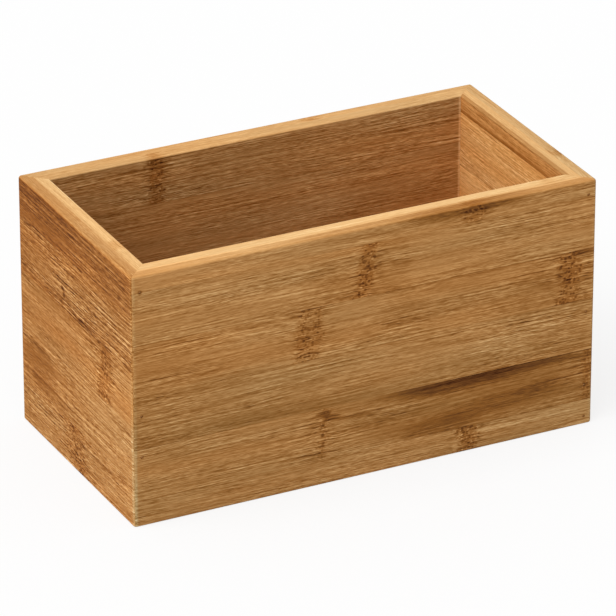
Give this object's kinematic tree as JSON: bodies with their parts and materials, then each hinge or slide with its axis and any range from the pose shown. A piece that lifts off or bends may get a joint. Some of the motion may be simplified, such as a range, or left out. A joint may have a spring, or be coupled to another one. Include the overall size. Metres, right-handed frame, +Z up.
{
  "type": "storage box",
  "caption": "Open-topped rectangular storage box of laminated bamboo strips, with mitred and bradded corners and an inset base.",
  "frame": {"origin": "middle of the underside, on the surface that the box stands on", "axes": "+X along the length, +Y from the front wall to the back wall, +Z up to the open rim"},
  "size_m": [0.23, 0.12, 0.122],
  "materials": {
    "outer_ply_bamboo": "satin",
    "inner_ply_bamboo": "satin",
    "base_bamboo": "satin",
    "brad_steel": "dull"
  },
  "bodies": {
    "root": {"back_corner_brads": "brad_steel", "back_inner_strip_1": "inner_ply_bamboo", "back_inner_strip_2": "inner_ply_bamboo", "back_inner_strip_3": "inner_ply_bamboo", "back_inner_strip_4": "inner_ply_bamboo", "back_inner_strip_5": "inner_ply_bamboo", "back_outer_strip_1": "outer_ply_bamboo", "back_outer_strip_2": "outer_ply_bamboo", "back_outer_strip_3": "outer_ply_bamboo", "back_outer_strip_4": "outer_ply_bamboo", "back_outer_strip_5": "outer_ply_bamboo", "back_outer_strip_6": "outer_ply_bamboo", "base_brads": "brad_steel", "base_strip_1": "base_bamboo", "base_strip_2": "base_bamboo", "base_strip_3": "base_bamboo", "base_strip_4": "base_bamboo", "base_strip_5": "base_bamboo", "front_corner_brads": "brad_steel", "front_inner_strip_1": "inner_ply_bamboo", "front_inner_strip_2": "inner_ply_bamboo", "front_inner_strip_3": "inner_ply_bamboo", "front_inner_strip_4": "inner_ply_bamboo", "front_inner_strip_5": "inner_ply_bamboo", "front_outer_strip_1": "outer_ply_bamboo", "front_outer_strip_2": "outer_ply_bamboo", "front_outer_strip_3": "outer_ply_bamboo", "front_outer_strip_4": "outer_ply_bamboo", "front_outer_strip_5": "outer_ply_bamboo", "front_outer_strip_6": "outer_ply_bamboo", "left_inner_strip_1": "inner_ply_bamboo", "left_inner_strip_2": "inner_ply_bamboo", "left_inner_strip_3": "inner_ply_bamboo", "left_inner_strip_4": "inner_ply_bamboo", "left_inner_strip_5": "inner_ply_bamboo", "left_outer_strip_1": "outer_ply_bamboo", "left_outer_strip_2": "outer_ply_bamboo", "left_outer_strip_3": "outer_ply_bamboo", "left_outer_strip_4": "outer_ply_bamboo", "left_outer_strip_5": "outer_ply_bamboo", "right_inner_strip_1": "inner_ply_bamboo", "right_inner_strip_2": "inner_ply_bamboo", "right_inner_strip_3": "inner_ply_bamboo", "right_inner_strip_4": "inner_ply_bamboo", "right_inner_strip_5": "inner_ply_bamboo", "right_outer_strip_1": "outer_ply_bamboo", "right_outer_strip_2": "outer_ply_bamboo", "right_outer_strip_3": "outer_ply_bamboo", "right_outer_strip_4": "outer_ply_bamboo", "right_outer_strip_5": "outer_ply_bamboo"}
  },
  "joints": []
}
